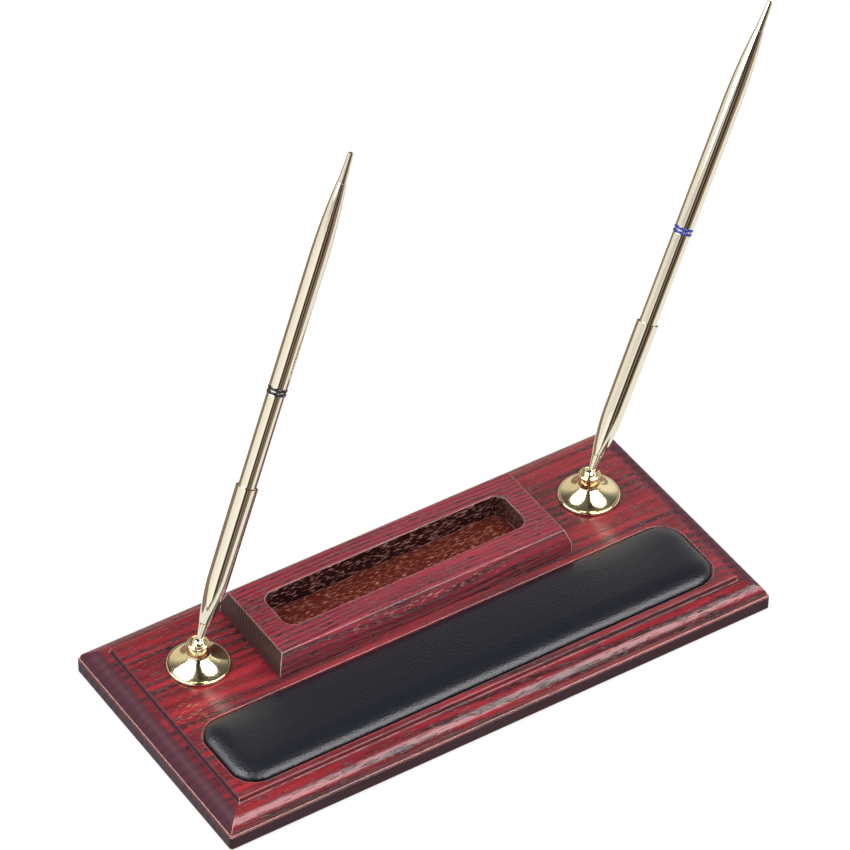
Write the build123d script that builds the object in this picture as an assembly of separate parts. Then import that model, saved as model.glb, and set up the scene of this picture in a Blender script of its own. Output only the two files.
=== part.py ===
from build123d import *
from math import atan, atan2, degrees, sqrt
import os

# Two-pen desk stand: a moulded wooden board with a slotted block for cards or a phone,
# a padded leather strip let into the board, and two slim pens in swivelling funnels.
# Millimetres. +X runs along the board, +Y to the back, +Z up.
# The origin is the middle of the face that the stand rests on.

# Shared by all cuts and fits
overrun = 1.0
seat_gap = 0.05
free_gap = 0.3

# Felt under the board
felt_thickness = 1.0
felt_margin = 3.0
felt_corner = 4.0

# Board and its moulded edge
board_length = 241.6
board_width = 112.6
board_thickness = 13.6
slab_height = 5.7
slab_edge_round = 0.45
slab_corner_round = 1.4
moulding_width = 9.4
field_round = 0.6
quirk_depth = 2.2
quirk_round = 0.9
ledge_width = 0.9
ledge_step = 0.5

# Slotted block
block_end_margin = 57.3
block_depth = 39.2
block_height = 10.5
block_centre_y = 20.4
block_flare = 2.2
block_foot_height = 4.3
block_shoulder_round = 9.0
block_arris_round = 0.3
block_foot_round = 0.4
slot_end_wall = 9.4
slot_front_wall = 10.3
slot_back_wall = 8.3
slot_corner = 5.0

# Screws that hold the block, from below
block_screw_radius = 1.5
block_screw_head_radius = 3.0
block_screw_head_height = 1.7
block_screw_bite = 7.0
block_screw_sink = 3.5

# Leather pad in its recess
pad_end_margin = 13.8
pad_width = 37.2
pad_centre_y = -25.1
pad_corner = 10.5
pad_recess = 1.3
recess_round = 0.3
pad_shoulder_height = 1.5
pad_crown_height = 3.3
pad_end_fall = 0.9
pad_edge_round = 1.4
pad_tuck_share = 0.12
leather_thickness = 0.9
backing_thickness = 1.0

# Pen holders: place on the board, lean and direction of each pen, notch direction
left_holder_margin = 33.2
right_holder_margin = 31.6
holder_centre_y = 21.6
left_lean_angle = 30.8
left_heading_angle = 22.9
left_notch_angle = -116.0
right_lean_angle = 34.6
right_heading_angle = 20.8
right_notch_angle = 21.0

# Flared socket
rim_radius = 12.3
rim_height = 1.5
rim_flat = 0.35
flare_sag = 0.35
flare_top_radius = 4.8
flare_top = 5.5
neck_foot = 7.2
neck_sag = 0.25
socket_wall = 0.75
hollow_height = 2.6
hollow_sag = 0.55
boss_radius = 4.4
socket_floor = 5.2
lip_tube = 0.5
notch_width = 3.1
notch_depth = 2.3

# Ball and what holds it
ball_height = 10.4
ball_radius = 2.75
ring_tube = 0.3
ring_rise = 0.75
ball_gap = 0.04
running_gap = 0.05
seat_drop = 1.9
seat_foot_height = 5.95
washer_spring_thickness = 0.35
washer_spring_rise = 0.35
washer_spring_radius = 2.9
washer_spring_bore = 1.3

# Screws that hold the sockets, from below
holder_screw_radius = 1.75
holder_screw_head_radius = 3.4
holder_screw_head_height = 2.4
holder_screw_bite = 4.8
holder_screw_sink = 5.0
screw_washer_radius = 4.5
screw_washer_thickness = 0.8
shank_gap = 0.25

# Ball neck and funnel, measured from the ball's centre along the pen
neck_ball_radius = 1.25
neck_top_radius = 2.1
joint_groove = 0.35
funnel_start = 9.0
funnel_taper_length = 19.0
funnel_straight_length = 36.2
funnel_foot_radius = 2.25
funnel_body_radius = 4.2
funnel_mouth_radius = 4.35
funnel_wall = 0.5
funnel_plug = 4.0
stud_radius = 1.3
stud_length = 3.4

# Pen, in lengths along the pen from the funnel's floor to its tail
nose_rise = 0.8
nose_tip_radius = 1.15
nose_cone_length = 7.0
nose_length = 11.0
nose_spigot_length = 5.0
nose_point_bore = 0.8
nose_point_length = 2.6
barrel_radius = 3.5
barrel_bore = 2.7
barrel_length = 76.4
ring_pitch = 1.6
colour_ring_width = 1.1
colour_ring_radius = 3.82
ring_seat_radius = 3.2
ring_land = 0.3
bush_reach = 6.4
bush_bore = 1.6
tail_radius = 3.65
tail_straight_length = 48.4
tail_taper_length = 31.9
tail_bore_stop = 4.4
tail_joint_radius = 1.88
tail_tip_base_radius = 1.72
tail_tip_length = 12.1
tail_tip_radius = 1.05
tail_tip_round = 0.3
tail_spigot_radius = 0.9
tail_spigot_length = 4.0
refill_radius = 1.1
refill_tail_reach = 15.0
refill_point_radius = 0.65
refill_ball_radius = 0.35
refill_reach = 0.4

# Levels and places that follow from the sizes above
board_bottom = felt_thickness
board_top = board_bottom + board_thickness
slab_top = board_bottom + slab_height
block_length = board_length - 2 * block_end_margin
slot_length = block_length - 2 * slot_end_wall
slot_width = block_depth - slot_front_wall - slot_back_wall
slot_offset_y = (slot_front_wall - slot_back_wall) / 2
pad_length = board_length - 2 * pad_end_margin
left_holder_x = left_holder_margin - board_length / 2
right_holder_x = board_length / 2 - right_holder_margin
recess_floor = board_top - pad_recess
ball_level = board_top + ball_height
ring_radius = sqrt((ball_radius + ball_gap + ring_tube) ** 2 - ring_rise ** 2)
socket_bore = ring_radius + ring_tube
lip_radius = socket_bore + lip_tube
funnel_taper_end = funnel_start + funnel_taper_length
funnel_end = funnel_taper_end + funnel_straight_length
nose_tip = funnel_start + funnel_plug + nose_rise
nose_end = nose_tip + nose_length
barrel_end = nose_end + barrel_length
rings_at = barrel_end + ring_land + (colour_ring_width + ring_pitch) / 2
tail_start = rings_at + ring_land + (colour_ring_width + ring_pitch) / 2
tail_taper_start = tail_start + tail_straight_length
tail_joint = tail_taper_start + tail_taper_length
tail_tip_end = tail_joint + tail_tip_length
block_screw_x = (block_length + slot_length) / 4

parts_folder = "parts"
os.makedirs(parts_folder, exist_ok=True)


def save(shape, node):
    export_step(shape, os.path.join(parts_folder, node + ".step"))


def rounded_prism(length, width, corner, bottom, top, centre_y=0):
    outline = RectangleRounded(length, width, corner)
    return Pos(0, centre_y, bottom) * extrude(outline, top - bottom)


def cylinder_between(radius, bottom, top, x=0, y=0):
    return Pos(x, y, bottom) * extrude(Circle(radius), top - bottom)


def turned(*edges):
    """Solid of revolution about Z from the edges of a closed outline of (radius, height)."""
    outline = make_face(Wire(list(edges)))
    return revolve(Plane.XZ * outline, Axis.Z)


def turned_points(*points):
    return turned(*Polyline(*points, close=True).edges())


def moulding_section(span):
    """Half-sections of the board mirrored into one closed outline of (across, height)."""
    edge = span / 2
    field = edge - moulding_width
    ovolo_start = field + quirk_round
    ovolo_end = edge - ledge_width
    shelf = board_top - quirk_depth
    ovolo_foot = slab_top + ledge_step
    ovolo_round = EllipticalCenterArc(
        (ovolo_start, ovolo_foot), ovolo_end - ovolo_start, shelf - ovolo_foot
    )
    half = [
        Line((0, board_bottom), (edge, board_bottom)),
        Line((edge, board_bottom), (edge, slab_top - slab_edge_round)),
        RadiusArc(
            (edge, slab_top - slab_edge_round), (edge - slab_edge_round, slab_top), -slab_edge_round
        ),
        Line((edge - slab_edge_round, slab_top), (ovolo_end, slab_top)),
        Line((ovolo_end, slab_top), (ovolo_end, ovolo_foot)),
        ovolo_round,
        RadiusArc((ovolo_start, shelf), (field, shelf + quirk_round), quirk_round),
        Line((field, shelf + quirk_round), (field, board_top - field_round)),
        RadiusArc((field, board_top - field_round), (field - field_round, board_top), -field_round),
        Line((field - field_round, board_top), (0, board_top)),
        Line((0, board_top), (0, board_bottom)),
    ]
    face = make_face(Wire(half))
    return face + mirror(face, Plane.YZ)


def base_board():
    """The moulding runs round all four sides, so the board is where two mouldings cross."""
    along = extrude(Plane.YZ * moulding_section(board_width), board_length / 2, both=True)
    across = extrude(Plane.XZ * moulding_section(board_length), board_width / 2, both=True)
    board = along & across
    board &= rounded_prism(board_length, board_width, slab_corner_round, board_bottom, board_top)
    board -= rounded_prism(
        pad_length + 2 * free_gap, pad_width + 2 * free_gap, pad_corner + free_gap,
        recess_floor, board_top + overrun, pad_centre_y,
    )
    recess_rim = board.edges().group_by(Axis.Z)[-1].filter_by(
        lambda edge: abs(edge.center().Y - pad_centre_y) < pad_width / 2 + 2 * free_gap
        and abs(edge.center().X) < pad_length / 2 + 2 * free_gap
    )
    board = fillet(recess_rim, recess_round)
    for x in (left_holder_x, right_holder_x):
        sink_top = board_bottom + holder_screw_sink
        board -= cylinder_between(
            screw_washer_radius + free_gap, board_bottom - overrun, sink_top, x, holder_centre_y
        )
        board -= cylinder_between(
            holder_screw_radius + shank_gap, board_bottom, board_top + overrun, x, holder_centre_y
        )
    for side in (-1, 1):
        x = side * block_screw_x
        board -= cylinder_between(
            block_screw_head_radius + shank_gap, board_bottom - overrun,
            board_bottom + block_screw_sink, x, block_centre_y,
        )
        board -= Pos(x, block_centre_y) * block_screw(shank_gap)
    return board


def block_screw(gap=0):
    """Countersunk screw standing head down; a gap makes the hole that it needs in the board."""
    head_bottom = board_bottom + block_screw_sink
    head_top = head_bottom + block_screw_head_height
    tip = board_top + block_screw_bite
    return turned_points(
        (0, head_bottom),
        (block_screw_head_radius + gap, head_bottom),
        (block_screw_radius + gap, head_top),
        (block_screw_radius + gap, tip - block_screw_radius),
        (0, tip),
    )


def card_block():
    """Drafted on all four sides above a straight foot, with the slot cut right through."""
    draft = degrees(atan2(block_flare, block_height - block_foot_height))
    foot = Rectangle(block_length + 2 * block_flare, block_depth + 2 * block_flare)
    block = extrude(foot, block_foot_height)
    shoulder = block.faces().sort_by(Axis.Z)[-1]
    block += extrude(shoulder, block_height - block_foot_height, taper=draft)
    shoulder_edges = block.edges().filter_by_position(
        Axis.Z, block_foot_height - seat_gap, block_foot_height + seat_gap
    )
    block = fillet(shoulder_edges, block_shoulder_round)
    block = fillet(block.edges().group_by(Axis.Z)[-1], block_arris_round)
    block = fillet(block.edges().group_by(Axis.Z)[0], block_foot_round)
    slot = Pos(0, slot_offset_y) * RectangleRounded(slot_length, slot_width, slot_corner)
    block -= Pos(0, 0, -overrun) * extrude(slot, block_height + 2 * overrun)
    slot_rim = block.edges().group_by(Axis.Z)[-1].filter_by(
        lambda edge: abs(edge.center().X) < (slot_length + block_length) / 4
        and abs(edge.center().Y) < (slot_width + block_depth) / 4
    )
    block = fillet(slot_rim, block_arris_round)
    block = Pos(0, block_centre_y, board_top) * block
    for side in (-1, 1):
        block -= Pos(side * block_screw_x, block_centre_y) * block_screw(seat_gap)
    return block


def pad_form(inset, bottom):
    """Crowned pad: a shallow dome, curved both ways, over an outline that is drawn in at its foot."""
    length = pad_length - 2 * inset
    width = pad_width - 2 * inset
    crown = board_top + pad_crown_height - inset
    drawn_in = (board_top + pad_shoulder_height - bottom) * pad_tuck_share
    foot = RectangleRounded(length - 2 * drawn_in, width - 2 * drawn_in, pad_corner - inset - drawn_in)
    lean = degrees(atan(pad_tuck_share))
    body = Pos(0, 0, bottom) * extrude(foot, crown + overrun - bottom, taper=-lean)
    side = width / 2 + overrun
    cross_fall = pad_crown_height - pad_shoulder_height
    cross_radius = ((pad_width / 2) ** 2 + cross_fall ** 2) / (2 * cross_fall)
    edge = crown - cross_radius + sqrt(cross_radius ** 2 - side ** 2)
    across = make_face(Wire([
        ThreePointArc((side, edge), (0, crown), (-side, edge)),
        Line((-side, edge), (-side, bottom - overrun)),
        Line((-side, bottom - overrun), (side, bottom - overrun)),
        Line((side, bottom - overrun), (side, edge)),
    ]))
    long_radius = (pad_length / 2) ** 2 / (2 * pad_end_fall)
    long_axis = Axis((0, 0, crown - long_radius), (0, 1, 0))
    half_turn = degrees(atan2(length / 2 + overrun, long_radius))
    dome = revolve(Plane.YZ * across, long_axis, 2 * half_turn).rotate(long_axis, -half_turn)
    return Pos(0, pad_centre_y) * (body & dome)


def pad_leather():
    cover = pad_form(0, recess_floor)
    rim = cover.edges().filter_by(lambda edge: edge.center().Z > board_top + pad_edge_round / 2)
    cover = fillet(rim, pad_edge_round)
    return cover - pad_form(leather_thickness, recess_floor - overrun)


def pad_foam():
    foam = pad_form(leather_thickness + seat_gap, recess_floor)
    return foam - rounded_prism(
        pad_length, pad_width, pad_corner,
        recess_floor - overrun, recess_floor + backing_thickness, pad_centre_y,
    )


def pad_board():
    drawn_in = (pad_shoulder_height + pad_recess) * pad_tuck_share
    inset = leather_thickness + drawn_in + seat_gap
    return rounded_prism(
        pad_length - 2 * inset, pad_width - 2 * inset, pad_corner - inset,
        recess_floor, recess_floor + backing_thickness, pad_centre_y,
    )


def holder_base(notch_angle):
    """Turned socket: rolled rim, hollowed cone, neck with a rolled lip, and a notched wall."""
    rim_edge = rim_radius - rim_height / 2
    neck_radius = lip_radius
    lip_level = ball_height + ring_rise
    hollow_edge = rim_edge - socket_wall
    socket = turned(
        Line((holder_screw_radius + seat_gap, 0), (boss_radius, 0)),
        Line((boss_radius, 0), (boss_radius, hollow_height)),
        SagittaArc((boss_radius, hollow_height), (hollow_edge, 0), -hollow_sag),
        Line((hollow_edge, 0), (rim_edge, 0)),
        SagittaArc((rim_edge, 0), (rim_edge, rim_height), -rim_height / 2),
        Line((rim_edge, rim_height), (rim_edge - rim_flat, rim_height)),
        SagittaArc((rim_edge - rim_flat, rim_height), (flare_top_radius, flare_top), flare_sag),
        SagittaArc((flare_top_radius, flare_top), (neck_radius, neck_foot), neck_sag),
        Line((neck_radius, neck_foot), (neck_radius, lip_level - lip_tube)),
        SagittaArc((neck_radius, lip_level - lip_tube), (neck_radius, lip_level + lip_tube), -lip_tube),
        RadiusArc((neck_radius, lip_level + lip_tube), (socket_bore, lip_level), -lip_tube),
        Line((socket_bore, lip_level), (socket_bore, socket_floor)),
        Line((socket_bore, socket_floor), (holder_screw_radius + seat_gap, socket_floor)),
        Line((holder_screw_radius + seat_gap, socket_floor), (holder_screw_radius + seat_gap, 0)),
    )
    return socket - notch(notch_angle)


def notch(angle):
    """Round-bottomed notch that lets the neck lie low on one side of the socket."""
    round_level = ball_height - notch_depth + notch_width / 2
    top = ball_height + ring_rise + lip_tube + overrun
    reach = rim_radius
    profile = Pos(0, round_level) * Circle(notch_width / 2)
    profile += Pos(0, (round_level + top) / 2) * Rectangle(notch_width, top - round_level)
    return Rot(0, 0, angle) * extrude(Plane.YZ * profile, reach)


def retaining_ring(notch_angle):
    ring = Pos(0, 0, ball_height + ring_rise) * Torus(ring_radius, ring_tube)
    return ring - notch(notch_angle)


def ball_seat():
    seat_top = ball_height - seat_drop
    cup = cylinder_between(socket_bore - running_gap, seat_foot_height, seat_top)
    return cup - Pos(0, 0, ball_height) * Sphere(ball_radius + running_gap)


def spring_washer():
    """Dished washer standing on the socket's floor, with its inner edge under the seat."""
    low = socket_floor
    high = socket_floor + washer_spring_rise
    return turned_points(
        (washer_spring_bore, high),
        (washer_spring_radius, low),
        (washer_spring_radius, low + washer_spring_thickness),
        (washer_spring_bore, high + washer_spring_thickness),
    )


def holder_screw():
    """Pan-head screw, head down under the board."""
    washer_bottom = board_bottom + holder_screw_sink - screw_washer_thickness
    head_bottom = washer_bottom - holder_screw_head_height
    tip = board_top + holder_screw_bite
    head_edge = holder_screw_head_radius - holder_screw_head_height / 2
    return turned(
        Line((0, head_bottom), (head_edge, head_bottom)),
        SagittaArc(
            (head_edge, head_bottom), (holder_screw_head_radius, washer_bottom),
            -holder_screw_head_height / 4,
        ),
        Line((holder_screw_head_radius, washer_bottom), (holder_screw_radius, washer_bottom)),
        Line((holder_screw_radius, washer_bottom), (holder_screw_radius, tip)),
        Line((holder_screw_radius, tip), (0, tip)),
        Line((0, tip), (0, head_bottom)),
    )


def screw_washer():
    top = board_bottom + holder_screw_sink
    washer = cylinder_between(screw_washer_radius, top - screw_washer_thickness, top)
    bore = holder_screw_radius + seat_gap
    return washer - cylinder_between(bore, top - screw_washer_thickness - overrun, top + overrun)


def swivel_ball():
    """Ball, tapered neck and the stud that the funnel screws on."""
    stem_foot = sqrt(ball_radius ** 2 - neck_ball_radius ** 2)
    stud_top = funnel_start + stud_length
    stem = turned_points(
        (0, 0),
        (neck_ball_radius, 0),
        (neck_ball_radius, stem_foot),
        (neck_top_radius, funnel_start - joint_groove),
        (neck_top_radius - joint_groove, funnel_start),
        (stud_radius, funnel_start),
        (stud_radius, stud_top),
        (0, stud_top),
    )
    return Sphere(ball_radius) + stem


def taper_arc(end_radius, body_radius, end_station, body_station):
    """Ogive from a narrow end up to the straight body, running into the body without a kink."""
    return TangentArc(
        (body_radius, body_station), (end_radius, end_station),
        tangent=(0, end_station - body_station),
    )


def funnel():
    mouth_inside = funnel_mouth_radius - funnel_wall
    body_inside = funnel_body_radius - funnel_wall
    foot_inside = funnel_foot_radius - funnel_wall + free_gap
    floor = funnel_start + funnel_plug
    stud_bore = stud_radius + seat_gap
    return turned(
        Line((stud_bore, funnel_start), (funnel_foot_radius, funnel_start)),
        taper_arc(funnel_foot_radius, funnel_body_radius, funnel_start, funnel_taper_end),
        Line((funnel_body_radius, funnel_taper_end), (funnel_mouth_radius, funnel_end)),
        Line((funnel_mouth_radius, funnel_end), (mouth_inside, funnel_end)),
        Line((mouth_inside, funnel_end), (body_inside, funnel_taper_end)),
        taper_arc(foot_inside, body_inside, floor, funnel_taper_end),
        Line((foot_inside, floor), (stud_bore, floor)),
        Line((stud_bore, floor), (stud_bore, funnel_start)),
    )


def pen_outline_radius(station):
    """Radius of the pen's front, which follows the inside of the funnel at the free gap."""
    body = funnel_body_radius - funnel_wall - free_gap
    foot = funnel_foot_radius - funnel_wall
    floor = funnel_start + funnel_plug
    run = funnel_taper_end - floor
    fall = body - foot
    curve = (run ** 2 + fall ** 2) / (2 * fall)
    return body - curve + sqrt(curve ** 2 - (funnel_taper_end - station) ** 2)


def pen_nose():
    cone_end = nose_tip + nose_cone_length
    spigot_end = nose_end + nose_spigot_length
    bore = refill_radius + seat_gap
    point_end = nose_tip + nose_point_length
    return turned(
        Line((nose_point_bore, nose_tip), (nose_tip_radius, nose_tip)),
        Line((nose_tip_radius, nose_tip), (pen_outline_radius(cone_end), cone_end)),
        Line((pen_outline_radius(cone_end), cone_end), (pen_outline_radius(nose_end), nose_end)),
        Line((pen_outline_radius(nose_end), nose_end), (barrel_bore - seat_gap, nose_end)),
        Line((barrel_bore - seat_gap, nose_end), (barrel_bore - seat_gap, spigot_end)),
        Line((barrel_bore - seat_gap, spigot_end), (bore, spigot_end)),
        Line((bore, spigot_end), (bore, point_end)),
        Line((bore, point_end), (nose_point_bore, point_end)),
        Line((nose_point_bore, point_end), (nose_point_bore, nose_tip)),
    )


def pen_barrel():
    return turned_points(
        (barrel_bore, nose_end),
        (pen_outline_radius(nose_end), nose_end),
        (pen_outline_radius(funnel_taper_end), funnel_taper_end),
        (barrel_radius, funnel_end),
        (barrel_radius, barrel_end),
        (barrel_bore, barrel_end),
    )


def joint_bush():
    """Sleeve inside both barrels, with the collar between them that carries the rings."""
    outer = barrel_bore - seat_gap
    return turned_points(
        (bush_bore, barrel_end - bush_reach),
        (outer, barrel_end - bush_reach),
        (outer, barrel_end),
        (ring_seat_radius, barrel_end),
        (ring_seat_radius, tail_start),
        (outer, tail_start),
        (outer, tail_start + bush_reach),
        (bush_bore, tail_start + bush_reach),
    )


def colour_rings():
    inside = ring_seat_radius + seat_gap
    edge = colour_ring_radius - colour_ring_width / 4
    rings = []
    for step in (-1, 1):
        low = rings_at + step * ring_pitch / 2 - colour_ring_width / 2
        high = low + colour_ring_width
        rings.append(turned(
            Line((inside, low), (edge, low)),
            SagittaArc((edge, low), (edge, high), -colour_ring_width / 4),
            Line((edge, high), (inside, high)),
            Line((inside, high), (inside, low)),
        ))
    return Compound(children=rings)


def pen_tail():
    """Straight, then a long ogive to the tail; bored for the refill and the tip's spigot."""
    spigot_bore = tail_spigot_radius + seat_gap
    spigot_floor = tail_joint - tail_spigot_length - seat_gap
    bore_end = tail_taper_start - tail_bore_stop
    return turned(
        Line((barrel_bore, tail_start), (tail_radius, tail_start)),
        Line((tail_radius, tail_start), (tail_radius, tail_taper_start)),
        taper_arc(tail_joint_radius, tail_radius, tail_joint, tail_taper_start),
        Line((tail_joint_radius, tail_joint), (spigot_bore, tail_joint)),
        Line((spigot_bore, tail_joint), (spigot_bore, spigot_floor)),
        Line((spigot_bore, spigot_floor), (0, spigot_floor)),
        Line((0, spigot_floor), (0, bore_end)),
        Line((0, bore_end), (barrel_bore, bore_end)),
        Line((barrel_bore, bore_end), (barrel_bore, tail_start)),
    )


def tail_tip():
    low = tail_joint - tail_spigot_length
    return turned_points(
        (0, low),
        (tail_spigot_radius, low),
        (tail_spigot_radius, tail_joint),
        (tail_tip_base_radius, tail_joint),
        (tail_tip_radius, tail_tip_end - tail_tip_round),
        (tail_tip_radius - tail_tip_round, tail_tip_end),
        (0, tail_tip_end),
    )


def refill():
    point = nose_tip - refill_reach
    shoulder = nose_tip + nose_point_length + seat_gap
    end = tail_start + refill_tail_reach
    return turned_points(
        (0, point),
        (refill_ball_radius, point),
        (refill_point_radius, nose_tip + refill_reach),
        (refill_point_radius, shoulder),
        (refill_radius, shoulder),
        (refill_radius, end),
        (0, end),
    )


def save_side(side, x, lean_angle, heading_angle, notch_angle):
    """One holder with its pen: the socket stands upright, the rest leans about the ball."""
    upright = Pos(x, holder_centre_y, board_top)
    save(upright * holder_base(notch_angle), side + "_holder_base")
    save(upright * retaining_ring(notch_angle), side + "_retaining_ring")
    save(upright * spring_washer(), side + "_spring_washer")
    save(upright * ball_seat(), side + "_ball_seat")
    leaning = Pos(x, holder_centre_y, ball_level) * Rot(0, 0, heading_angle) * Rot(0, lean_angle, 0)
    save(leaning * swivel_ball(), side + "_swivel_ball")
    save(leaning * funnel(), side + "_funnel")
    save(leaning * pen_nose(), side + "_pen_nose")
    save(leaning * pen_barrel(), side + "_pen_barrel")
    save(leaning * joint_bush(), side + "_joint_bush")
    save(leaning * colour_rings(), side + "_colour_rings")
    save(leaning * pen_tail(), side + "_pen_tail")
    save(leaning * tail_tip(), side + "_tail_tip")
    save(leaning * refill(), side + "_refill")


save(
    rounded_prism(
        board_length - 2 * felt_margin, board_width - 2 * felt_margin, felt_corner, 0, felt_thickness
    ),
    "felt_sheet",
)
save(base_board(), "base_board")
save(card_block(), "card_block")
save(pad_board(), "pad_board")
save(pad_foam(), "pad_foam")
save(pad_leather(), "pad_leather")

holder_places = [Pos(x, holder_centre_y) for x in (left_holder_x, right_holder_x)]
block_places = [Pos(side * block_screw_x, block_centre_y) for side in (-1, 1)]
save(Compound(children=[place * block_screw() for place in block_places]), "block_screws")
save(Compound(children=[place * holder_screw() for place in holder_places]), "holder_screws")
save(Compound(children=[place * screw_washer() for place in holder_places]), "holder_washers")

save_side("left", left_holder_x, left_lean_angle, left_heading_angle, left_notch_angle)
save_side("right", right_holder_x, right_lean_angle, right_heading_angle, right_notch_angle)
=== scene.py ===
# %% [markdown]
# # A wooden desk stand with two pens
# The stand is a moulded board of stained, open-grained wood. It carries a slotted block for cards
# or a phone, a padded strip of black leather, and two gold-plated pens in swivelling funnels.
# The solids come ready made, in metres, with +X along the board, +Y to the back and +Z up.
# This lesson gives them their finishes, covers the pad with soft leather, and sets up the photograph.

from math import cos, exp, pi, radians, sin

import bmesh
import bpy
from mathutils import Matrix, Vector


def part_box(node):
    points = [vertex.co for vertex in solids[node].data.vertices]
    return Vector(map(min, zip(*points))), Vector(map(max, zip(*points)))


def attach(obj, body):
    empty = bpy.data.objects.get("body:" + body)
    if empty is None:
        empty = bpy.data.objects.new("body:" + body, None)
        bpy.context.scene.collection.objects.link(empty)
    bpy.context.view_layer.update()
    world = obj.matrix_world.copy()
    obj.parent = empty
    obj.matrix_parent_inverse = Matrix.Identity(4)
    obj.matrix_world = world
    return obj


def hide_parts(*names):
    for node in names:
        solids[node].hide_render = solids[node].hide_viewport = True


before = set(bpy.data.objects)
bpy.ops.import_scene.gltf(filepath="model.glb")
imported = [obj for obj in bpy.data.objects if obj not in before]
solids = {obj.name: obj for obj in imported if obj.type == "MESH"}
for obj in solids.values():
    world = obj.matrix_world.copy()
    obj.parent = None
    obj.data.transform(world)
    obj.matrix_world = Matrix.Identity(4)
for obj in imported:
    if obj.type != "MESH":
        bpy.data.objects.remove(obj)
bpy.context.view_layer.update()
mm = 0.001

# %% [markdown]
# ## The camera
# A product photographer steps well back and uses a long lens, so that the board's edges stay nearly
# parallel. The place of the camera can be guessed by eye, or worked out from the board's corners.
# Here it was worked out, and it is written as a direction, a distance and the point looked at.

# %% Camera
look_at = Vector((66.1, 103.4, 1.0)) * mm
azimuth = radians(-33.06)
elevation = radians(41.42)
roll = radians(0.49)
distance = 2109 * mm
image_width = 850
focal_pixels = 5290

backward = Vector((sin(azimuth) * cos(elevation), -cos(azimuth) * cos(elevation), sin(elevation)))
level_right = Vector((cos(azimuth), sin(azimuth), 0))
level_up = backward.cross(level_right)
right = level_right * cos(roll) + level_up * sin(roll)
up = level_up * cos(roll) - level_right * sin(roll)

camera_data = bpy.data.cameras.new("camera")
camera_data.sensor_width = 36
camera_data.lens = focal_pixels / image_width * camera_data.sensor_width
camera = bpy.data.objects.new("camera", camera_data)
camera.matrix_world = Matrix.Translation(look_at + backward * distance) @ Matrix(
    (right, up, backward)
).transposed().to_4x4()
bpy.context.scene.collection.objects.link(camera)
bpy.context.scene.camera = camera
print("lens:", round(camera_data.lens, 1), "mm")

# %% [markdown]
# ## Tools for finishes
# Every finish below is a small tree of shader nodes. One function adds a node, sets its options
# and connects its inputs, so that a tree reads from top to bottom. Colours are written as the hex
# values that a paint program shows, and are turned to the linear values that Blender works with.

# %% Shader helpers
def linear(hex_colour):
    """The linear red, green, blue and alpha of a hex colour."""
    channels = [int(hex_colour[i:i + 2], 16) / 255 for i in (1, 3, 5)]
    return [c / 12.92 if c <= 0.04045 else ((c + 0.055) / 1.055) ** 2.4 for c in channels] + [1]


def add_node(tree, kind, inputs=None, stops=(), **settings):
    """Add a shader node. Inputs are values or sockets; stops are places on a ramp, grey or hex."""
    node = tree.nodes.new(kind)
    for name, value in settings.items():
        setattr(node, name, value)
    for name, value in (inputs or {}).items():
        if isinstance(value, bpy.types.NodeSocket):
            tree.links.new(value, node.inputs[name])
        else:
            node.inputs[name].default_value = value
    for index, (place, value) in enumerate(stops):
        elements = node.color_ramp.elements
        element = elements[index] if index < 2 else elements.new(place)
        element.position = place
        element.color = linear(value) if isinstance(value, str) else (value, value, value, 1)
    return node


def new_finish(name, **values):
    """A material with its shader's plain values set, such as Base Color for base_color."""
    material = bpy.data.materials.new(name)
    material.use_nodes = True
    tree = material.node_tree
    surface = tree.nodes["Principled BSDF"]
    for socket in surface.inputs:
        key = socket.name.lower().replace(" ", "_")
        if key in values:
            socket.default_value = values[key]
    return material, tree, surface


def finish_solids(material, *nodes):
    """Give solids that keep their shape a material of their own."""
    for node in nodes:
        mesh = solids[node].data
        mesh.materials.clear()
        mesh.materials.append(material)
    print(material.name, "on", *nodes)


print("mid grey in linear light:", round(linear("#808080")[0], 3))

# %% [markdown]
# ## Stained open-pored wood
# The board and the block are an open-pored hardwood such as ash, wiped with a mahogany-red stain
# and lacquered. The stain sinks into the coarse spring growth and leaves dark streaks along the grain,
# and end grain drinks so much of it that the sides across the grain turn a dark purple-brown. A
# photographed texture could be wrapped round the board, but a solid pattern, worked out from the place
# of each point in the wood, runs through the mouldings and over the edges as real grain does.

# %% Grain
ring_taper = 0.008
ring_sway = 9.0
noise_roughness = 0.55
print("the rings sway by", ring_sway, "mm")


def grain_noise(tree, point, length, width, detail):
    """Noise drawn out along the grain; the length and width of its features are in millimetres."""
    stretched = add_node(
        tree, "ShaderNodeVectorMath", {0: point, 1: (1 / length, 1 / width, 1 / width)},
        operation="MULTIPLY",
    )
    noise = add_node(
        tree, "ShaderNodeTexNoise",
        {
            "Vector": stretched.outputs[0], "Scale": 1, "Detail": detail,
            "Roughness": noise_roughness,
        },
    )
    return noise.outputs["Fac"]


def growth_rings(tree, point, ring_pitch, ring_lean):
    """Soft bands where the growth rings cut the surface: slanting sheets that sway along the tree."""
    ring_normal = (ring_taper, cos(ring_lean) / ring_pitch, sin(ring_lean) / ring_pitch)
    across = add_node(
        tree, "ShaderNodeVectorMath", {0: point, 1: ring_normal}, operation="DOT_PRODUCT",
    )
    drift = grain_noise(tree, point, length=150, width=30, detail=2)
    swaying = add_node(
        tree, "ShaderNodeMath",
        {0: drift, 1: ring_sway / ring_pitch, 2: across.outputs["Value"]}, operation="MULTIPLY_ADD",
    )
    ring = add_node(tree, "ShaderNodeMath", {0: swaying.outputs[0]}, operation="FRACT")
    bands = add_node(
        tree, "ShaderNodeValToRGB", {"Fac": ring.outputs[0]},
        stops=((0.0, 0.05), (1.0, 0.05), (0.16, 1.0), (0.42, 0.75), (0.7, 0.06)),
    )
    return bands.outputs["Color"]


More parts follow.
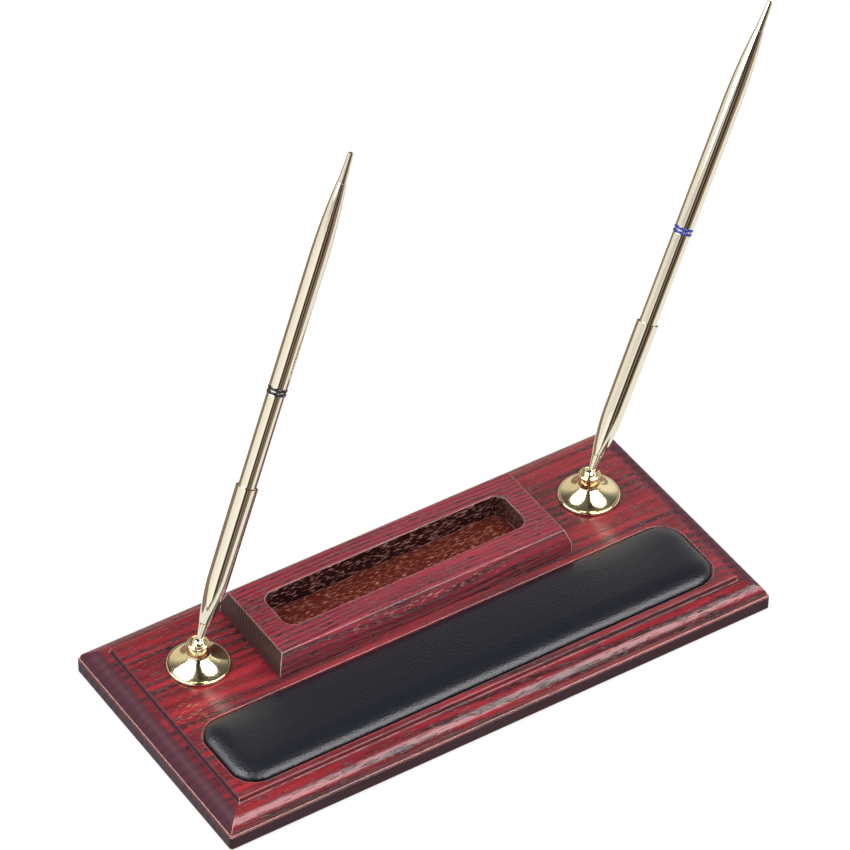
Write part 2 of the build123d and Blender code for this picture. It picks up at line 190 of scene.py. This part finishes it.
# %% [markdown]
# ### Streaks and pores
# Ring porous wood is cut lengthwise through its vessels, which show as fine grooves. They lie close
# together in the spring growth, so the stain gathers there in dark, broken lines. The two patterns
# could be drawn apart, but here the pores take their share from the streaks, as in the tree.

# %% Streaks and pores
patch_softness = 0.18
pore_gathering = 0.14
pore_length, pore_width = 7, 0.5
print("pores:", pore_length, "by", pore_width, "mm")


def dark_streaks(tree, point, rings, patch_start):
    """Rings of spring growth, where they meet patches that drank more stain."""
    thirst = grain_noise(tree, point, length=110, width=14, detail=2)
    patches = add_node(
        tree, "ShaderNodeValToRGB", {"Fac": thirst},
        stops=((patch_start, 0.0), (patch_start + patch_softness, 1.0)),
    )
    return add_node(
        tree, "ShaderNodeMath", {0: rings, 1: patches.outputs["Color"]}, operation="MULTIPLY",
    ).outputs[0]


def open_pores(tree, point, streaks):
    """Grooves half a millimetre wide, drawn a little wider than real ones so that they show."""
    vessels = grain_noise(tree, point, pore_length, pore_width, detail=1)
    pore_noise = add_node(
        tree, "ShaderNodeMath", {0: streaks, 1: pore_gathering, 2: vessels},
        operation="MULTIPLY_ADD",
    )
    pores = add_node(
        tree, "ShaderNodeValToRGB", {"Fac": pore_noise.outputs[0]},
        stops=((0.63, 0.0), (0.71, 1.0)),
    )
    return pores.outputs["Color"]


# %% [markdown]
# ### The slot and the glints
# The inside of the milled slot is painted dark, as painted shade in the recess, and short pale dashes
# along the grain are painted glints, where raised fibres in the lacquer catch the light. Some lie on
# the board by the left socket, and in a line under the block's front arris. A picture could be painted
# for them, but the places are known, so a box round the slot and a ball round one place make the
# masks.

# %% Slot, painted shade and glints
block_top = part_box("card_block")[1].z / mm
slot_centre = (0, 21.4, 0)
slot_half_length, slot_half_width = 54.4, 10.6
slot_rim = block_top - 0.15
fleck_gathering = 0.28
fleck_length, fleck_width = 2.8, 0.28
print("slot rim:", round(slot_rim, 2), "mm, flecks:", fleck_length, "by", fleck_width, "mm")


# This mask carries the painted shade in the slot: its inside takes a dark colour, darkest on the
# block's walls.
def within_slot(tree, spot, height):
    """One inside the slot's outline and below its rim, zero elsewhere."""
    beside = add_node(tree, "ShaderNodeVectorMath", {0: spot, 1: slot_centre}, operation="SUBTRACT")
    aside = add_node(tree, "ShaderNodeVectorMath", {0: beside.outputs[0]}, operation="ABSOLUTE")
    offset = add_node(tree, "ShaderNodeSeparateXYZ", {0: aside.outputs[0]}).outputs
    inside = 1.0
    for measure, limit in (
        (offset["X"], slot_half_length), (offset["Y"], slot_half_width), (height, slot_rim),
    ):
        within = add_node(tree, "ShaderNodeMath", {0: measure, 1: limit}, operation="LESS_THAN")
        both = add_node(
            tree, "ShaderNodeMath", {0: within.outputs[0], 1: inside}, operation="MULTIPLY",
        )
        inside = both.outputs[0]
    return inside


def painted_glint_dashes(tree, spot, point, slot, glint_centre, glint_reach):
    """Painted glints: pale dashes, close together in the slot and thinning out round one place."""
    from_glint_centre = add_node(
        tree, "ShaderNodeVectorMath", {0: spot, 1: glint_centre}, operation="SUBTRACT",
    )
    glint_way = add_node(
        tree, "ShaderNodeVectorMath", {0: from_glint_centre.outputs[0], 1: glint_reach}, operation="DIVIDE",
    )
    glint_distance = add_node(
        tree, "ShaderNodeVectorMath", {0: glint_way.outputs[0]}, operation="LENGTH",
    )
    near_glint_centre = add_node(
        tree, "ShaderNodeValToRGB", {"Fac": glint_distance.outputs["Value"]},
        stops=((0.3, 1.0), (1.0, 0.0)),
    )
    fleck_share = add_node(
        tree, "ShaderNodeMath", {0: near_glint_centre.outputs["Color"], 1: slot}, operation="MAXIMUM",
    )
    specks = grain_noise(tree, point, fleck_length, fleck_width, detail=0)
    fleck_noise = add_node(
        tree, "ShaderNodeMath", {0: fleck_share.outputs[0], 1: fleck_gathering, 2: specks},
        operation="MULTIPLY_ADD",
    )
    dashes = add_node(
        tree, "ShaderNodeValToRGB", {"Fac": fleck_noise.outputs[0]},
        stops=((0.92, 0.0), (1.0, 0.85)),
    )
    return dashes.outputs["Color"]


# %% [markdown]
# ### Ends and arrises
# Faces that look along the board cut the grain across and turn dark. Sharp arrises are rounded in
# the shading, so the light runs round them, and a pale painted highlight is mixed into their colour.
# Both can be read from the way a face looks, so no mask has to be painted.

# %% Ends and arrises
arris_radius = 0.7 * mm
print("arrises rounded to", round(arris_radius / mm, 2), "mm")


def end_grain_share(tree, normal):
    """One on faces across the grain, zero on faces along it."""
    facing = add_node(tree, "ShaderNodeSeparateXYZ", {0: normal})
    end_facing = add_node(tree, "ShaderNodeMath", {0: facing.outputs["X"]}, operation="ABSOLUTE")
    share = add_node(
        tree, "ShaderNodeValToRGB", {"Fac": end_facing.outputs[0]},
        stops=((0.06, 0.0), (0.24, 1.0)),
    )
    return share.outputs["Color"]


def painted_arris_highlight(tree, normal, softened):
    """How far the rounded arris turns away from its flat face: the share of the painted highlight."""
    turned = add_node(
        tree, "ShaderNodeVectorMath", {0: softened, 1: normal}, operation="DOT_PRODUCT",
    )
    highlight_share = add_node(
        tree, "ShaderNodeValToRGB", {"Fac": turned.outputs["Value"]},
        stops=((0.88, 0.9), (0.985, 0.0)),
    )
    return highlight_share.outputs["Color"]


# %% [markdown]
# ### Layers of stain and painted light
# A finisher works in layers: a red ground, the darker figure of the grain, dark ends, and clear
# lacquer over all. The material mixes its colours in the same order, and over the stains it paints
# shade into the slot and onto the low sides, glints as pale dashes, and a highlight along the arrises.
# The lacquer
# is the coat: glossy on sanded faces, and nearly lost where the wood drinks it.

# %% Stained wood
foot_top = 6.6
lacquer_loss = 0.95
pore_depth = 0.14 * mm
smooth_wood, streak_wood = 0.46, 0.6


def stained_wood(
    name, stains, ring_pitch, ring_lean, patch_start, piece_offset, glint_centre, glint_reach,
):
    """Layers of stain and painted light under lacquer; lengths are in millimetres, in the board's
    frame.
    """
    material, tree, surface = new_finish(
        name, ior=1.5, specular_ior_level=0.12, coat_ior=1.5, coat_roughness=0.18,
    )
    place = add_node(tree, "ShaderNodeTexCoord").outputs["Object"]
    in_mm = add_node(
        tree, "ShaderNodeVectorMath", {0: place, 1: (1 / mm,) * 3}, operation="MULTIPLY",
    )
    spot = in_mm.outputs[0]
    in_tree = add_node(tree, "ShaderNodeVectorMath", {0: spot, 1: piece_offset}, operation="ADD")
    point = in_tree.outputs[0]
    height = add_node(tree, "ShaderNodeSeparateXYZ", {0: spot}).outputs["Z"]
    normal = add_node(tree, "ShaderNodeNewGeometry").outputs["Normal"]
    rounded = add_node(tree, "ShaderNodeBevel", {"Radius": arris_radius}, samples=6)
    softened = rounded.outputs["Normal"]

    rings = growth_rings(tree, point, ring_pitch, ring_lean)
    streaks = dark_streaks(tree, point, rings, patch_start)
    pores = open_pores(tree, point, streaks)
    slot = within_slot(tree, spot, height)
    end_grain = end_grain_share(tree, normal)
    strands = grain_noise(tree, point, length=45, width=4.5, detail=5)
    fibres = add_node(
        tree, "ShaderNodeValToRGB", {"Fac": strands}, stops=((0.3, 0.0), (0.66, 1.0)),
    )
    outer_ends = add_node(
        tree, "ShaderNodeMath", {0: end_grain, 1: slot}, operation="SUBTRACT", use_clamp=True,
    )
    dashes = painted_glint_dashes(tree, spot, point, slot, glint_centre, glint_reach)
    # Painted glints: the pale dashes stand for light caught along the grain, and leave the outer end
    # grain.
    flecks = add_node(
        tree, "ShaderNodeMath", {0: dashes, 1: outer_ends.outputs[0]},
        operation="SUBTRACT", use_clamp=True,
    )
    # Painted shade: everything below foot_top, the board's low sides, is painted dark.
    low_down = add_node(tree, "ShaderNodeMath", {0: height, 1: foot_top}, operation="LESS_THAN")
    foot = low_down.outputs[0]
    end_stain = add_node(
        tree, "ShaderNodeMix",
        {"Factor": rings, "A": linear(stains["end"]), "B": linear(stains["end rings"])},
        data_type="RGBA",
    )

    colour = linear(stains["light"])
    for share, stain in (
        (fibres.outputs["Color"], linear(stains["deep"])), (streaks, linear(stains["streak"])),
        (pores, linear(stains["pore"])), (end_grain, end_stain.outputs["Result"]),
        # Painted shade inside the slot, then painted glints as pale dashes.
        (slot, linear(stains["slot"])), (flecks.outputs[0], linear(stains["fleck"])),
        # Painted shade on the low sides.
        (foot, linear(stains["foot"])),
        # Painted highlight along arrises and inner edges, in a pale colour.
        (painted_arris_highlight(tree, normal, softened), linear(stains["arris"])),
    ):
        mixed = add_node(
            tree, "ShaderNodeMix", {"Factor": share, "A": colour, "B": stain}, data_type="RGBA",
        )
        colour = mixed.outputs["Result"]
    tree.links.new(colour, surface.inputs["Base Color"])

    under_lacquer = add_node(
        tree, "ShaderNodeMapRange",
        {"Value": streaks, "To Min": smooth_wood, "To Max": streak_wood},
    )
    tree.links.new(under_lacquer.outputs["Result"], surface.inputs["Roughness"])
    thirsty = add_node(tree, "ShaderNodeMath", {0: end_grain, 1: slot}, operation="MAXIMUM")
    dull = add_node(tree, "ShaderNodeMath", {0: thirsty.outputs[0], 1: foot}, operation="MAXIMUM")
    gloss = add_node(
        tree, "ShaderNodeMath", {0: dull.outputs[0], 1: -lacquer_loss, 2: 1.0},
        operation="MULTIPLY_ADD",
    )
    tree.links.new(gloss.outputs[0], surface.inputs["Coat Weight"])
    open_grooves = add_node(
        tree, "ShaderNodeMath", {0: pores, 1: end_grain}, operation="SUBTRACT", use_clamp=True,
    )
    grooves = add_node(
        tree, "ShaderNodeBump",
        {
            "Height": open_grooves.outputs[0], "Strength": 0.7, "Distance": pore_depth,
            "Normal": softened,
        },
        invert=True,
    )
    for socket in ("Normal", "Coat Normal"):
        tree.links.new(grooves.outputs["Normal"], surface.inputs[socket])
    print(name, "has", len(tree.nodes), "nodes")
    return material


# %% [markdown]
# ### Board and block
# The two are cut from different planks: the board shows wide rings on a bright red ground, the block
# close rings on a cooler red. The same function makes both, from two sets of stains.

# %% Board and block
# Painted light among the stains: slot and foot are painted shade, fleck a painted glint, arris a
# painted highlight.
board_stains = {
    "light": "#8f2029", "deep": "#54121a", "streak": "#3d0f17", "pore": "#1a070a",
    "slot": "#481610", "fleck": "#a8705c", "end": "#46232e", "end rings": "#3e1f29",
    "foot": "#361d24", "arris": "#deaca2",
}
block_stains = {
    "light": "#8e2634", "deep": "#6f1e2b", "streak": "#4e1823", "pore": "#1e090d",
    "slot": "#230709", "fleck": "#c89088", "end": "#221013", "end rings": "#503a38",
    "foot": "#361d24", "arris": "#e8c4bc",
}
board_wood = stained_wood(
    "stained ash, lacquered, board", board_stains, ring_pitch=4.2, ring_lean=radians(20),
    patch_start=0.38, piece_offset=(0, 0, 0),
    glint_centre=(-101.7, 0, 17), glint_reach=(16, 16, 16),
)
block_wood = stained_wood(
    "stained ash, lacquered, block", block_stains, ring_pitch=1.6, ring_lean=radians(-42),
    patch_start=0.25, piece_offset=(210, 37, 11),
    glint_centre=(-8, -0.3, block_top - 3), glint_reach=(75, 5, 3.4),
)
finish_solids(board_wood, "base_board")
finish_solids(block_wood, "card_block")

# %% [markdown]
# ## Finishes with a little life
# No worked surface is quite even: plate is polished by hand, zinc clouds in its bath and felt is a
# tangle. A plain value for colour and gloss looks like a toy, so the next function lets both wander
# between two values, over patches of a real size, and can raise the same pattern as a fine relief.

# %% Worked finishes
def worked_finish(name, tones, glosses, patch, relief=0, **values):
    """A finish between two tones and two roughnesses; the patch and the relief are in millimetres."""
    material, tree, surface = new_finish(name, **values)
    place = add_node(tree, "ShaderNodeTexCoord").outputs["Object"]
    noise = add_node(
        tree, "ShaderNodeTexNoise", {"Vector": place, "Scale": 1 / (patch * mm), "Detail": 3},
    ).outputs["Fac"]
    tone = add_node(
        tree, "ShaderNodeMix", {"Factor": noise, "A": linear(tones[0]), "B": linear(tones[1])},
        data_type="RGBA",
    )
    tree.links.new(tone.outputs["Result"], surface.inputs["Base Color"])
    gloss = add_node(
        tree, "ShaderNodeMapRange", {"Value": noise, "To Min": glosses[0], "To Max": glosses[1]},
    )
    tree.links.new(gloss.outputs["Result"], surface.inputs["Roughness"])
    if relief:
        raised = add_node(tree, "ShaderNodeBump", {"Height": noise, "Distance": relief * mm})
        tree.links.new(raised.outputs["Normal"], surface.inputs["Normal"])
    return material


# %% [markdown]
# ## Pale gold plate
# The pens and their holders are brass, polished and plated with a thin pale gold. Polished plate is
# nearly a mirror: it has hardly any colour of its own to show, only that of what it reflects. The
# holders are yellower and a little softer than the pens, as they are plated in another bath.

# %% Gold plate
pen_gold = worked_finish(
    "champagne gold plate on polished brass", ("#f6efda", "#f5eed6"), (0.05, 0.07), patch=9,
    metallic=1,
)
socket_gold = worked_finish(
    "yellow gold plate on polished brass", ("#f3e4b8", "#f1e0b0"), (0.1, 0.14), patch=5,
    metallic=1,
)
pen_pieces = (
    "swivel_ball", "funnel", "pen_nose", "pen_barrel", "joint_bush", "pen_tail", "tail_tip",
)
socket_pieces = ("holder_base", "retaining_ring")
for side in ("left", "right"):
    finish_solids(pen_gold, *(f"{side}_{piece}" for piece in pen_pieces))
    finish_solids(socket_gold, *(f"{side}_{piece}" for piece in socket_pieces))
print("gold pieces:", 2 * (len(pen_pieces) + len(socket_pieces)))

# %% [markdown]
# ## Colour rings
# Two thin rings of glossy enamel on each pen tell the ink: black on the left, blue on the right. The
# enamel is baked on, so it is smooth and deep, with the least unevenness where it ran.

# %% Enamels
black_enamel = worked_finish(
    "black enamel, baked and glossy", ("#0d0f18", "#10131c"), (0.13, 0.17), patch=1.5,
)
blue_enamel = worked_finish(
    "blue enamel, baked and glossy", ("#152e80", "#18338a"), (0.13, 0.17), patch=1.5,
)
finish_solids(black_enamel, "left_colour_rings")
finish_solids(blue_enamel, "right_colour_rings")

# %% [markdown]
# ## The hidden pieces
# Springs, screws, seats, refills, the pad's board and the felt hardly show, but they keep the
# materials they are made of, so that the part still looks right when it is taken to pieces.

# %% Hidden metal
# Zinc plate is a pale grey metal, clouded by its bath; spring steel is darker and bare.
zinc = worked_finish(
    "zinc-plated steel", ("#c9cbce", "#b9bcc1"), (0.28, 0.42), patch=1.2, metallic=1,
)
spring = worked_finish(
    "plain spring steel", ("#939397", "#85858a"), (0.25, 0.36), patch=0.8, metallic=1,
)
finish_solids(zinc, "block_screws", "holder_screws", "holder_washers")
finish_solids(spring, "left_spring_washer", "right_spring_washer")

# %% Hidden plastic, board and felt
# Nylon is milky and waxy, the refill's tube clearer; pressed board is brown and fibrous. Felt is a
# matt black tangle of fibres that glows faintly at its edges.
nylon = worked_finish("natural nylon, moulded", ("#dad4c5", "#d2cbb9"), (0.45, 0.58), patch=1.0)
tube = worked_finish("polypropylene tube, drawn", ("#dedfd9", "#d5d6cf"), (0.26, 0.36), patch=1.2)
card = worked_finish(
    "pressed board", ("#8f795b", "#7c6647"), (0.85, 0.95), patch=0.9, relief=0.08,
)
felt = worked_finish(
    "black pressed felt", ("#1a1a1c", "#242427"), (0.9, 1.0), patch=0.6, relief=0.2,
    sheen_weight=0.4,
)
finish_solids(nylon, "left_ball_seat", "right_ball_seat")
finish_solids(tube, "left_refill", "right_refill")
finish_solids(card, "pad_board")
finish_solids(felt, "felt_sheet")

# %% [markdown]
# ## The leather pad
# The pad is black leather drawn over a thin layer of foam on a stiff board, and let into the wood.
# Its edge rolls over softly and its middle is a little higher. It could be modelled by hand, but
# stuffed leather takes its shape from the pressure under it, so a plain low form is made first,
# and a cloth simulation blows it up against its own held edge. The one soft piece stands for both
# the leather and the foam of the solids.

# %% Plain form of the pad
pad_low, pad_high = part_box("pad_leather")
board_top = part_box("base_board")[1].z
pad_centre = (pad_low + pad_high) / 2
pad_half = (pad_high - pad_low) / 2
pad_corner = 10.5 * mm
pad_inset = 0.15 * mm
tuck = 0.2 * mm
roll_rise = 1.1 * mm
roll_width = 0.9 * mm
dome_rise = 1.9 * mm
dome_width = 4.5 * mm
roll_stations = (0.2, 0.4, 0.7, 1.0, 1.5, 2.0, 2.7, 3.5, 4.5, 6.0, 8.0, 10.0)
corner_steps = 10
print("pad:", *(round(2 * side / mm, 1) for side in pad_half), "mm")


def pad_outline(inset, height):
    """Points round a rectangle with rounded corners, drawn in by the inset."""
    radius = pad_corner - inset
    points = []
    for quarter, (side_x, side_y) in enumerate(((1, 1), (-1, 1), (-1, -1), (1, -1))):
        for step in range(corner_steps + 1):
            angle = radians(90) * (quarter + step / corner_steps)
            points.append((
                pad_centre.x + side_x * (pad_half.x - pad_corner) + radius * cos(angle),
                pad_centre.y + side_y * (pad_half.y - pad_corner) + radius * sin(angle),
                height,
            ))
    return points


# %% Skin of the pad
# The edge rolls over steeply at first, and the middle rises more slowly.
levels = [(pad_inset, pad_low.z), (pad_inset, board_top - tuck)]
for station in roll_stations:
    way_in = station * mm
    roll_lift = roll_rise * (1 - exp(-way_in / roll_width))
    dome_lift = dome_rise * (1 - exp(-way_in / dome_width))
    levels.append((pad_inset + way_in, board_top - tuck + roll_lift + dome_lift))

pad_form = bmesh.new()
loops = [[pad_form.verts.new(point) for point in pad_outline(*level)] for level in levels]
for lower, upper in zip(loops, loops[1:]):
    for i in range(len(lower)):
        j = (i + 1) % len(lower)
        pad_form.faces.new((lower[i], lower[j], upper[j], upper[i]))
pad_form.faces.new(loops[-1])
pad_form.faces.new(list(reversed(loops[0])))
pad_mesh = bpy.data.meshes.new("leather_pad")
pad_form.to_mesh(pad_mesh)
pad_form.free()
pad = bpy.data.objects.new("leather_pad", pad_mesh)
bpy.context.scene.collection.objects.link(pad)
print("plain pad:", len(pad_mesh.vertices), "points, top", levels[-1][1], "solid top", pad_high.z)


# %% Even sheet
def modified_mesh(piece):
    """The piece's mesh as its modifiers leave it."""
    depsgraph = bpy.context.evaluated_depsgraph_get()
    return bpy.data.meshes.new_from_object(piece.evaluated_get(depsgraph), depsgraph=depsgraph)


sheet_size = 0.9 * mm
remesh = pad.modifiers.new("even sheet", "REMESH")
remesh.mode = "VOXEL"
remesh.voxel_size = sheet_size
even_mesh = modified_mesh(pad)
pad.modifiers.clear()
pad.data = even_mesh
print("even pad:", len(even_mesh.vertices), "points")

# %% Blow the pad up
# Cloth is made for metre-sized things, so the pad is blown up at twenty times its size.
cloth_scale = 20
cloth_frames = 20
pad_pressure = 4
swell_limit = 0.4 * mm
start = [vertex.co.copy() for vertex in even_mesh.vertices]
even_mesh.transform(Matrix.Scale(cloth_scale, 4))
held = pad.vertex_groups.new(name="held edge")
held.add([i for i, co in enumerate(start) if co.z < board_top + tuck], 1.0, "REPLACE")
cloth = pad.modifiers.new("leather", "CLOTH")
cloth.settings.vertex_group_mass = "held edge"
cloth.settings.use_pressure = True
cloth.settings.uniform_pressure_force = pad_pressure
cloth.settings.effector_weights.gravity = 0
for frame_number in range(1, cloth_frames + 1):
    bpy.context.scene.frame_set(frame_number)
swollen = modified_mesh(pad)
pad.modifiers.clear()
pad.vertex_groups.clear()
moves = [vertex.co / cloth_scale - co for vertex, co in zip(swollen.vertices, start)]
largest_move = max(move.length for move in moves)
print("largest swelling:", round(largest_move / mm, 2), "mm")
for vertex, co, move in zip(even_mesh.vertices, start, moves):
    vertex.co = co + move * min(1, swell_limit / largest_move)
bpy.context.scene.frame_set(1)

# %% Smooth leather over foam
even_mesh.shade_smooth()
smoothing = pad.modifiers.new("smooth leather", "SUBSURF")
smoothing.levels = 1
smoothing.render_levels = 1
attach(pad, "stand")
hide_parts("pad_leather", "pad_foam")
print("pad piece:", pad.name, "in place of the leather and the foam")

# %% [markdown]
# ## Black leather
# Upholstery leather, dyed black, embossed with a fine pebble grain and waxed to a half gloss. The
# grain breaks the highlights up, and the creases between the pebbles are darker and duller than their
# tops. It could be pressed into the mesh, but pebbles of 0.7 mm are finer than the mesh, so a bump
# does it.

# %% Leather finish
leather, leather_tree, leather_surface = new_finish(
    "black grained leather, half gloss", specular_ior_level=0.2,
    coat_weight=0.7, coat_ior=1.5, coat_roughness=0.3,
)
grain_size = 0.7 * mm
grain_depth = 0.14 * mm
waxed_top, waxed_crease = 0.28, 0.4
leather_place = add_node(leather_tree, "ShaderNodeTexCoord").outputs["Object"]
pebbles = add_node(
    leather_tree, "ShaderNodeTexVoronoi", {"Vector": leather_place, "Scale": 1 / grain_size},
)
from_top = pebbles.outputs["Distance"]
dye = add_node(
    leather_tree, "ShaderNodeMix",
    {"Factor": from_top, "A": linear("#090c17"), "B": linear("#050812")},
    data_type="RGBA",
)
wax = add_node(
    leather_tree, "ShaderNodeMapRange",
    {"Value": from_top, "To Min": waxed_top, "To Max": waxed_crease},
)
leather_bump = add_node(
    leather_tree, "ShaderNodeBump", {"Height": from_top, "Strength": 0.6, "Distance": grain_depth},
)
leather_tree.links.new(dye.outputs["Result"], leather_surface.inputs["Base Color"])
leather_tree.links.new(wax.outputs["Result"], leather_surface.inputs["Roughness"])
for socket in ("Normal", "Coat Normal"):
    leather_tree.links.new(leather_bump.outputs["Normal"], leather_surface.inputs[socket])
pad.data.materials.clear()
pad.data.materials.append(leather)
print(leather.name, "with pebbles of", grain_size / mm, "mm")

# %% [markdown]
# ## White sweep
# The stand is photographed on white, so the floor is white paper. More light would whiten the paper,
# but it would bleach the wood too, so to the lens the paper glows a little by itself, and it still
# takes a soft shadow. In reflections it is white in a strip at the stand and a dull brown further off,
# as in a room where only the set is lit: this draws the pale and brown bands along the gold.

# %% Floor
floor_half = 4.0
floor_gap = 0.1 * mm  # the felt and the paper must not share one plane
floor_mesh = bpy.data.meshes.new("floor")
floor_corners = ((-1, -1), (1, -1), (1, 1), (-1, 1))
floor_mesh.from_pydata(
    [(x * floor_half, y * floor_half, -floor_gap) for x, y in floor_corners], [], [(0, 1, 2, 3)],
)
floor = bpy.data.objects.new("floor", floor_mesh)
bpy.context.scene.collection.objects.link(floor)
print("floor:", 2 * floor_half, "m wide")

# %% Paper
bright_middle = -0.13
bright_half = 0.23
lens_glow_share = 0.6
lens_glow = 1.35
paper, paper_tree, paper_surface = new_finish(
    "white sweep paper", base_color=linear("#a8a8a8"), roughness=0.9, specular_ior_level=0,
)
rays = add_node(paper_tree, "ShaderNodeLightPath").outputs
glow_share = add_node(
    paper_tree, "ShaderNodeMath", {0: rays["Is Camera Ray"], 1: lens_glow_share},
    operation="MULTIPLY",
)
glow = add_node(paper_tree, "ShaderNodeEmission", {"Strength": lens_glow})
seen_paper = add_node(
    paper_tree, "ShaderNodeMixShader",
    {0: glow_share.outputs[0], 1: paper_surface.outputs[0], 2: glow.outputs[0]},
)
floor_spot = add_node(paper_tree, "ShaderNodeNewGeometry").outputs["Position"]
floor_y = add_node(paper_tree, "ShaderNodeSeparateXYZ", {0: floor_spot}).outputs["Y"]
near_stand = add_node(
    paper_tree, "ShaderNodeMath", {0: floor_y, 1: bright_middle, 2: bright_half},
    operation="COMPARE",
)
mirror_colour = add_node(
    paper_tree, "ShaderNodeMix",
    {"Factor": near_stand.outputs[0], "A": linear("#8c7c6e"), "B": linear("#f2f2f2")},
    data_type="RGBA",
)
mirrored_paper = add_node(
    paper_tree, "ShaderNodeEmission", {"Color": mirror_colour.outputs["Result"]},
)
paper_mix = add_node(
    paper_tree, "ShaderNodeMixShader",
    {0: rays["Is Glossy Ray"], 1: seen_paper.outputs[0], 2: mirrored_paper.outputs[0]},
)
paper_tree.links.new(paper_mix.outputs[0], paper_tree.nodes["Material Output"].inputs["Surface"])
floor_mesh.materials.append(paper)
print("paper:", len(paper_tree.nodes), "nodes")

# %% [markdown]
# ## Studio light
# Two large softboxes stand left and right of the camera and show as two white spots on each gold
# socket; a small pale card at the back lights the far edges. Bare lamps would give hard shadows and
# pin-point highlights, which the photograph doesn't have.

# %% Softboxes
def softbox(name, around, above, reach, width, height, power):
    """A round-edged lamp that faces the stand, placed in degrees and metres."""
    turn = radians(around)
    rise = radians(above)
    direction = Vector((sin(turn) * cos(rise), -cos(turn) * cos(rise), sin(rise)))
    lamp_data = bpy.data.lights.new(name, "AREA")
    lamp_data.shape = "ELLIPSE"
    lamp_data.size = width
    lamp_data.size_y = height
    lamp_data.energy = power
    lamp = bpy.data.objects.new(name, lamp_data)
    lamp.location = direction * reach
    lamp.rotation_euler = direction.to_track_quat("Z", "Y").to_euler()
    bpy.context.scene.collection.objects.link(lamp)
    print(name, power, "W")


softbox("left softbox", around=-108, above=52, reach=1.2, width=1.35, height=0.85, power=18)
softbox("right softbox", around=30, above=54, reach=1.2, width=1.35, height=0.85, power=18)
softbox(
    "pale card at the back", around=139, above=38, reach=0.78, width=0.32, height=0.32, power=0.09,
)

# %% [markdown]
# ## Round the set
# Polished metal shows the room. White sheets stand round the set, with a gap for the camera, which
# draws the dark lines on the pens, and the ceiling is dark. Real sheets could be modelled, but the
# world's colour by direction does the same and throws no shadows.

# %% Studio surroundings
studio_strength = 1.1
world = bpy.data.worlds.new("studio")
world.use_nodes = True
bpy.context.scene.world = world
sky = world.node_tree
heading = add_node(
    sky, "ShaderNodeSeparateXYZ", {0: add_node(sky, "ShaderNodeTexCoord").outputs["Generated"]},
).outputs
toward_front = add_node(sky, "ShaderNodeMath", {0: heading["Y"], 1: -1}, operation="MULTIPLY")
turn = add_node(
    sky, "ShaderNodeMath", {0: heading["X"], 1: toward_front.outputs[0]}, operation="ARCTAN2",
)
turn_share = add_node(
    sky, "ShaderNodeMath", {0: turn.outputs[0], 1: 0.5 / pi, 2: 0.5}, operation="MULTIPLY_ADD",
)
# Degrees round the set from straight in front: white sheets, and a dark gap with the camera.
sheets = (
    (-180, "#d8d0c4"), (180, "#d8d0c4"), (-46, "#ffffff"), (-41, "#42342c"), (-25, "#42342c"),
    (-22, "#94867c"), (-17, "#94867c"), (-14, "#3c302a"), (4, "#3c302a"), (10, "#8f7d70"),
    (56, "#8f7d70"), (64, "#ffffff"),
)
round_set = add_node(
    sky, "ShaderNodeValToRGB", {"Fac": turn_share.outputs[0]},
    stops=[(degrees / 360 + 0.5, colour) for degrees, colour in sheets],
)
# From the floor up to the ceiling, by the sine of the angle: the sheets end and the dark begins.
up_set = add_node(
    sky, "ShaderNodeValToRGB", {"Fac": heading["Z"]},
    stops=((0.0, 1.0), (1.0, 0.12), (0.36, 0.95), (0.47, 0.45), (0.6, 0.16), (0.8, 0.08)),
)
studio = add_node(
    sky, "ShaderNodeMix",
    {"Factor": 1, "A": round_set.outputs["Color"], "B": up_set.outputs["Color"]},
    data_type="RGBA", blend_type="MULTIPLY",
)
sky_rays = add_node(sky, "ShaderNodeLightPath")
seen_studio = add_node(
    sky, "ShaderNodeMix",
    {"Factor": sky_rays.outputs["Is Camera Ray"], "A": studio.outputs["Result"], "B": (1, 1, 1, 1)},
    data_type="RGBA",
)
sky.links.new(seen_studio.outputs["Result"], sky.nodes["Background"].inputs["Color"])
sky.nodes["Background"].inputs["Strength"].default_value = studio_strength
bpy.context.scene.view_settings.view_transform = "Standard"
print("surroundings:", len(sheets), "sheets and gaps")
